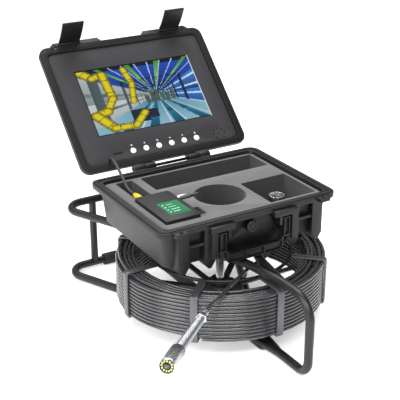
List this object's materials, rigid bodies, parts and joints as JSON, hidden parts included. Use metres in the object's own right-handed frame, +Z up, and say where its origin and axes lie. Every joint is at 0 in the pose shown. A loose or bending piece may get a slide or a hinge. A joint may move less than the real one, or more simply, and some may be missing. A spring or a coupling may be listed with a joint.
{
  "type": "pipe inspection camera",
  "caption": "Pipe inspection camera: monitor case with foam insert on a bent tube stand that carries a turning cable reel and a lit camera head.",
  "frame": {"origin": "on the floor under the reel's axis, at the base bar's underside", "axes": "+Z up, -Y the case's front with handle and latches, +X to the right seen from the front"},
  "size_m": [0.3925, 0.5808, 0.3817],
  "materials": {
    "case_black": "moulded, satin",
    "tube_black": "matte powder coat",
    "rubber": "matte",
    "strap_grey": "silver grey paint",
    "steel": "polished",
    "chrome": "polished",
    "cable_black": "glossy jacket",
    "foam_grey": "cut foam",
    "panel_grey": "fine texture",
    "screen": "gloss",
    "button_white": "gloss",
    "plug_yellow": "satin",
    "board_green": "solder mask",
    "led": "clear lens",
    "lens": "polished",
    "lead_grey": "satin jacket"
  },
  "bodies": {
    "stand_and_case": {"av_lead": "lead_grey", "av_plug": "plug_yellow", "axle_post": "steel", "base_bar": "strap_grey", "battery_pack": "panel_grey", "case_base": "case_black", "case_mount_plate": "strap_grey", "control_box": "case_black", "control_box_cover": "case_black", "data_connector": "steel", "foam_insert": "foam_grey", "foot_sleeve_left": "rubber", "foot_sleeve_right": "rubber", "frame_tube_lower_right": "tube_black", "frame_tube_main": "tube_black", "frame_tube_upper_right": "tube_black", "head_collar": "steel", "head_ferrule": "steel", "head_housing": "chrome", "head_led_ring": "led", "head_lens": "lens", "head_spring": "steel", "hinge_pin": "steel", "push_cable_tail": "cable_black", "rear_strut_left": "tube_black", "rear_strut_right": "tube_black", "rim_seal": "rubber", "signal_lead": "cable_black", "slip_ring": "case_black"},
    "reel": {"reel_hub": "strap_grey", "reel_ring": "steel", "cable_coil": "cable_black", "reel_arm_1": "strap_grey", "reel_arm_2": "strap_grey", "reel_arm_3": "strap_grey", "reel_arm_4": "strap_grey", "reel_arm_5": "strap_grey", "reel_arm_6": "strap_grey", "reel_arm_7": "strap_grey", "reel_arm_8": "strap_grey"},
    "lid": {"lid_shell": "case_black", "monitor_panel": "panel_grey", "lcd_screen": "screen", "main_board": "board_green", "speaker": "panel_grey"},
    "latch_left": {"latch_left": "case_black"},
    "latch_right": {"latch_right": "case_black"},
    "memory_card": {"memory_card": "case_black"},
    "handle": {"handle": "case_black"},
    "valve_knob": {"valve_knob": "case_black"},
    "skid": {"skid_frame": "strap_grey"},
    "button_1": {"button_1": "button_white"},
    "button_2": {"button_2": "button_white"},
    "button_3": {"button_3": "button_white"},
    "button_4": {"button_4": "button_white"},
    "button_5": {"button_5": "button_white"},
    "button_6": {"button_6": "button_white"},
    "skid_wheel_1": {"skid_wheel_1": "rubber"},
    "skid_wheel_2": {"skid_wheel_2": "rubber"},
    "skid_wheel_3": {"skid_wheel_3": "rubber"}
  },
  "joints": [
    {"name": "reel_turn", "type": "hinge", "parent": "stand_and_case", "child": "reel", "pos_m": [0, 0, 0.05], "axis": [0, 0, 1], "continuous": true},
    {"name": "lid_hinge", "type": "hinge", "parent": "stand_and_case", "child": "lid", "pos_m": [0, 0.1387, 0.188], "axis": [1, 0, 0], "range_deg": [0, 135], "deforming": ["av_lead"]},
    {"name": "latch_left_swing", "type": "hinge", "parent": "lid", "child": "latch_left", "pos_m": [-0.087, 0.30119, 0.34427], "axis": [1, 0, 0], "range_deg": [-100, 8]},
    {"name": "latch_right_swing", "type": "hinge", "parent": "lid", "child": "latch_right", "pos_m": [0.087, 0.30119, 0.34427], "axis": [1, 0, 0], "range_deg": [-100, 8]},
    {"name": "button_1_press", "type": "slide", "parent": "lid", "child": "button_1", "axis": [0, 0.7071, -0.7071], "range_m": [0, 0.001], "stiffness_N_per_m": 300, "springref_m": -0.001},
    {"name": "button_2_press", "type": "slide", "parent": "lid", "child": "button_2", "axis": [0, 0.7071, -0.7071], "range_m": [0, 0.001], "stiffness_N_per_m": 300, "springref_m": -0.001},
    {"name": "button_3_press", "type": "slide", "parent": "lid", "child": "button_3", "axis": [0, 0.7071, -0.7071], "range_m": [0, 0.001], "stiffness_N_per_m": 300, "springref_m": -0.001},
    {"name": "button_4_press", "type": "slide", "parent": "lid", "child": "button_4", "axis": [0, 0.7071, -0.7071], "range_m": [0, 0.001], "stiffness_N_per_m": 300, "springref_m": -0.001},
    {"name": "button_5_press", "type": "slide", "parent": "lid", "child": "button_5", "axis": [0, 0.7071, -0.7071], "range_m": [0, 0.001], "stiffness_N_per_m": 300, "springref_m": -0.001},
    {"name": "button_6_press", "type": "slide", "parent": "lid", "child": "button_6", "axis": [0, 0.7071, -0.7071], "range_m": [0, 0.001], "stiffness_N_per_m": 300, "springref_m": -0.001},
    {"name": "memory_card_slide", "type": "slide", "parent": "lid", "child": "memory_card", "axis": [0, -0.7071, 0.7071], "range_m": [0, 0.006]},
    {"name": "handle_swing", "type": "hinge", "parent": "stand_and_case", "child": "handle", "pos_m": [0, -0.0852, 0.1698], "axis": [1, 0, 0], "range_deg": [-95, 0]},
    {"name": "valve_turn", "type": "hinge", "parent": "stand_and_case", "child": "valve_knob", "pos_m": [0, -0.0742, 0.1683], "axis": [0, 1, 0], "range_deg": [0, 360]},
    {"name": "skid_lift", "type": "slide", "parent": "stand_and_case", "child": "skid", "axis": [0, 0, 1], "range_m": [0, 0.016]},
    {"name": "skid_wheel_1_roll", "type": "hinge", "parent": "skid", "child": "skid_wheel_1", "pos_m": [0.09819, -0.0115, 0.1553], "axis": [-0.5, 0.866, 0], "continuous": true},
    {"name": "skid_wheel_2_roll", "type": "hinge", "parent": "skid", "child": "skid_wheel_2", "pos_m": [0.06181, -0.0115, 0.1553], "axis": [-0.5, -0.866, 0], "continuous": true},
    {"name": "skid_wheel_3_roll", "type": "hinge", "parent": "skid", "child": "skid_wheel_3", "pos_m": [0.08, -0.043, 0.1553], "axis": [1, 0, 0], "continuous": true}
  ]
}
